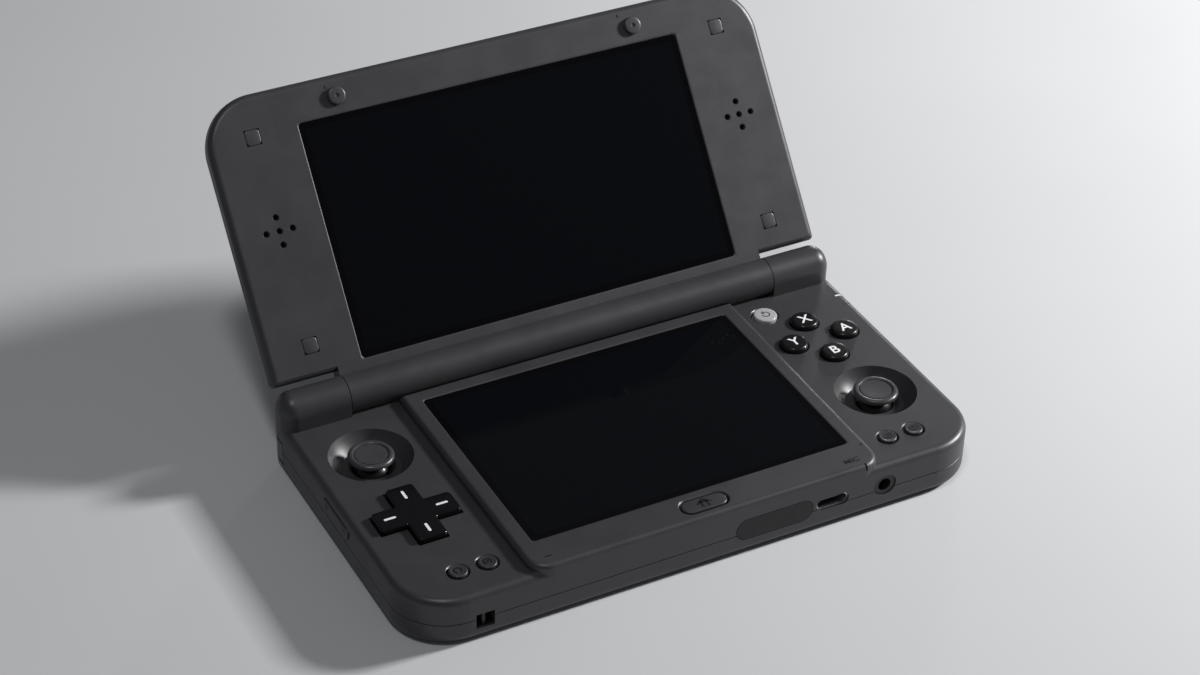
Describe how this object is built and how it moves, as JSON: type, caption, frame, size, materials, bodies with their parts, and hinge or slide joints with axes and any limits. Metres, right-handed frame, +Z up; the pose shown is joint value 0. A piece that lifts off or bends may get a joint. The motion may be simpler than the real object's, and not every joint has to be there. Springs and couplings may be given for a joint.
{
  "type": "handheld game console",
  "caption": "Clamshell handheld game console with an upper and a lower display, thumbsticks, a direction pad and buttons, on a friction hinge.",
  "frame": {"origin": "centre of the flat underside of the base", "axes": "+X to the right, +Y to the hinge at the back, +Z up"},
  "size_m": [0.1597, 0.1329, 0.0797],
  "materials": {
    "shell_plastic": "fine matte charcoal moulding",
    "gloss_black": "polished black moulding",
    "light_grey": "satin light grey moulding",
    "screen_glass": "black-backed cover glass, display off",
    "display_panel": "display panel, off",
    "circuit_board": "green solder mask",
    "battery_wrap": "wrapped cell",
    "cooling_metal": "stamped sheet",
    "steel": "plain steel",
    "rubber_black": "matte rubber",
    "rubber_grey": "silicone mat",
    "clear_white": "milky light pipe",
    "black_plastic": "plain black moulding",
    "flex_amber": "flexible circuit"
  },
  "bodies": {
    "base": {"base_top_shell": "shell_plastic", "base_bottom_cover": "shell_plastic", "lower_screen_glass": "screen_glass", "lower_display_panel": "display_panel", "main_board": "circuit_board", "battery_pack": "battery_wrap", "cooling_plate": "cooling_metal", "base_screws": "steel", "rubber_feet": "rubber_black", "usb_c_port": "steel", "headphone_jack": "black_plastic", "card_reader": "steel", "dpad_membrane": "rubber_grey", "face_button_membrane": "rubber_grey", "tact_switches": "steel", "led_light_pipes": "clear_white", "strap_pin": "steel", "hinge_cartridge_left": "steel", "hinge_cartridge_right": "steel", "stick_housing_left": "black_plastic", "stick_housing_right": "black_plastic"},
    "lid": {"lid_front_bezel": "shell_plastic", "lid_back_cover": "shell_plastic", "upper_screen_glass": "screen_glass", "upper_display_panel": "display_panel", "speaker_left": "black_plastic", "speaker_right": "black_plastic", "lid_screw_caps": "rubber_black", "lid_bumpers": "rubber_black", "lid_screws": "steel", "hinge_pin_left": "steel", "hinge_pin_right": "steel", "hinge_flex_cable": "flex_amber"},
    "dpad_pivot": {"dpad_pivot": "steel"},
    "dpad": {"dpad": "gloss_black"},
    "button_x": {"button_x": "gloss_black"},
    "button_a": {"button_a": "gloss_black"},
    "button_b": {"button_b": "gloss_black"},
    "button_y": {"button_y": "gloss_black"},
    "return_button": {"return_button": "light_grey"},
    "home_button": {"home_button": "shell_plastic"},
    "small_button_left_outer": {"small_button_left_outer": "shell_plastic"},
    "small_button_left_inner": {"small_button_left_inner": "shell_plastic"},
    "small_button_right_inner": {"small_button_right_inner": "shell_plastic"},
    "small_button_right_outer": {"small_button_right_outer": "shell_plastic"},
    "volume_rocker": {"volume_rocker": "shell_plastic"},
    "power_button": {"power_button": "shell_plastic"},
    "shoulder_left_outer": {"shoulder_left_outer": "gloss_black"},
    "shoulder_left_inner": {"shoulder_left_inner": "gloss_black"},
    "shoulder_right_outer": {"shoulder_right_outer": "gloss_black"},
    "shoulder_right_inner": {"shoulder_right_inner": "gloss_black"},
    "card_slot_cover": {"card_slot_cover": "rubber_black"},
    "stick_saddle_left": {"stick_saddle_left": "steel"},
    "stick_cradle_left": {"stick_cradle_left": "steel"},
    "stick_left": {"stick_shaft_left": "gloss_black", "stick_cap_left": "shell_plastic"},
    "stick_saddle_right": {"stick_saddle_right": "steel"},
    "stick_cradle_right": {"stick_cradle_right": "steel"},
    "stick_right": {"stick_shaft_right": "gloss_black", "stick_cap_right": "shell_plastic"}
  },
  "joints": [
    {"name": "lid_hinge", "type": "hinge", "parent": "base", "child": "lid", "pos_m": [0, 0.03805, 0.0171], "axis": [1, 0, 0], "range_deg": [-28, 127.6]},
    {"name": "dpad_rock_x", "type": "hinge", "parent": "base", "child": "dpad_pivot", "pos_m": [-0.0635, -0.0096, 0.012], "axis": [1, 0, 0], "range_deg": [-5, 5], "stiffness_Nm_per_rad": 0.05},
    {"name": "dpad_rock_y", "type": "hinge", "parent": "dpad_pivot", "child": "dpad", "pos_m": [-0.0635, -0.0096, 0.012], "axis": [0, 1, 0], "range_deg": [-5, 5], "stiffness_Nm_per_rad": 0.05},
    {"name": "press_x", "type": "slide", "parent": "base", "child": "button_x", "axis": [0, 0, -1], "range_m": [0, 0.0008], "stiffness_N_per_m": 900},
    {"name": "press_a", "type": "slide", "parent": "base", "child": "button_a", "axis": [0, 0, -1], "range_m": [0, 0.0008], "stiffness_N_per_m": 900},
    {"name": "press_b", "type": "slide", "parent": "base", "child": "button_b", "axis": [0, 0, -1], "range_m": [0, 0.0008], "stiffness_N_per_m": 900},
    {"name": "press_y", "type": "slide", "parent": "base", "child": "button_y", "axis": [0, 0, -1], "range_m": [0, 0.0008], "stiffness_N_per_m": 900},
    {"name": "press_return_button", "type": "slide", "parent": "base", "child": "return_button", "axis": [0, 0, -1], "range_m": [0, 0.0004], "stiffness_N_per_m": 1500},
    {"name": "press_home_button", "type": "slide", "parent": "base", "child": "home_button", "axis": [0, 0, -1], "range_m": [0, 0.0004], "stiffness_N_per_m": 1500},
    {"name": "press_small_button_left_outer", "type": "slide", "parent": "base", "child": "small_button_left_outer", "axis": [0, 0, -1], "range_m": [0, 0.0004], "stiffness_N_per_m": 1500},
    {"name": "press_small_button_left_inner", "type": "slide", "parent": "base", "child": "small_button_left_inner", "axis": [0, 0, -1], "range_m": [0, 0.0004], "stiffness_N_per_m": 1500},
    {"name": "press_small_button_right_inner", "type": "slide", "parent": "base", "child": "small_button_right_inner", "axis": [0, 0, -1], "range_m": [0, 0.0004], "stiffness_N_per_m": 1500},
    {"name": "press_small_button_right_outer", "type": "slide", "parent": "base", "child": "small_button_right_outer", "axis": [0, 0, -1], "range_m": [0, 0.0004], "stiffness_N_per_m": 1500},
    {"name": "volume_rock", "type": "hinge", "parent": "base", "child": "volume_rocker", "pos_m": [-0.0781, 0.0019, 0.0098], "axis": [0, 0, 1], "range_deg": [-2.5, 2.5], "stiffness_Nm_per_rad": 0.1},
    {"name": "press_power", "type": "slide", "parent": "base", "child": "power_button", "axis": [-1, 0, 0], "range_m": [0, 0.0004], "stiffness_N_per_m": 1500},
    {"name": "press_shoulder_left_outer", "type": "hinge", "parent": "base", "child": "shoulder_left_outer", "pos_m": [-0.0771, 0.0382, 0.0056], "axis": [0, 0, -1], "range_deg": [0, 2.8], "stiffness_Nm_per_rad": 0.4},
    {"name": "press_shoulder_left_inner", "type": "slide", "parent": "base", "child": "shoulder_left_inner", "axis": [0, -1, 0], "range_m": [0, 0.0012], "stiffness_N_per_m": 800},
    {"name": "press_shoulder_right_outer", "type": "hinge", "parent": "base", "child": "shoulder_right_outer", "pos_m": [0.0771, 0.0382, 0.0056], "axis": [0, 0, 1], "range_deg": [0, 2.8], "stiffness_Nm_per_rad": 0.4},
    {"name": "press_shoulder_right_inner", "type": "slide", "parent": "base", "child": "shoulder_right_inner", "axis": [0, -1, 0], "range_m": [0, 0.0012], "stiffness_N_per_m": 800},
    {"name": "pull_card_slot_cover", "type": "slide", "parent": "base", "child": "card_slot_cover", "axis": [0, -1, 0], "range_m": [0, 0.006]},
    {"name": "stick_click_left", "type": "slide", "parent": "base", "child": "stick_saddle_left", "axis": [0, 0, -1], "range_m": [0, 0.0003], "stiffness_N_per_m": 3000},
    {"name": "stick_tilt_x_left", "type": "hinge", "parent": "stick_saddle_left", "child": "stick_cradle_left", "pos_m": [-0.0636, 0.0169, 0.0066], "axis": [1, 0, 0], "range_deg": [-12, 12], "stiffness_Nm_per_rad": 0.02},
    {"name": "stick_tilt_y_left", "type": "hinge", "parent": "stick_cradle_left", "child": "stick_left", "pos_m": [-0.0636, 0.0169, 0.0066], "axis": [0, 1, 0], "range_deg": [-12, 12], "stiffness_Nm_per_rad": 0.02},
    {"name": "stick_click_right", "type": "slide", "parent": "base", "child": "stick_saddle_right", "axis": [0, 0, -1], "range_m": [0, 0.0003], "stiffness_N_per_m": 3000},
    {"name": "stick_tilt_x_right", "type": "hinge", "parent": "stick_saddle_right", "child": "stick_cradle_right", "pos_m": [0.0636, -0.0148, 0.0066], "axis": [1, 0, 0], "range_deg": [-12, 12], "stiffness_Nm_per_rad": 0.02},
    {"name": "stick_tilt_y_right", "type": "hinge", "parent": "stick_cradle_right", "child": "stick_right", "pos_m": [0.0636, -0.0148, 0.0066], "axis": [0, 1, 0], "range_deg": [-12, 12], "stiffness_Nm_per_rad": 0.02}
  ]
}
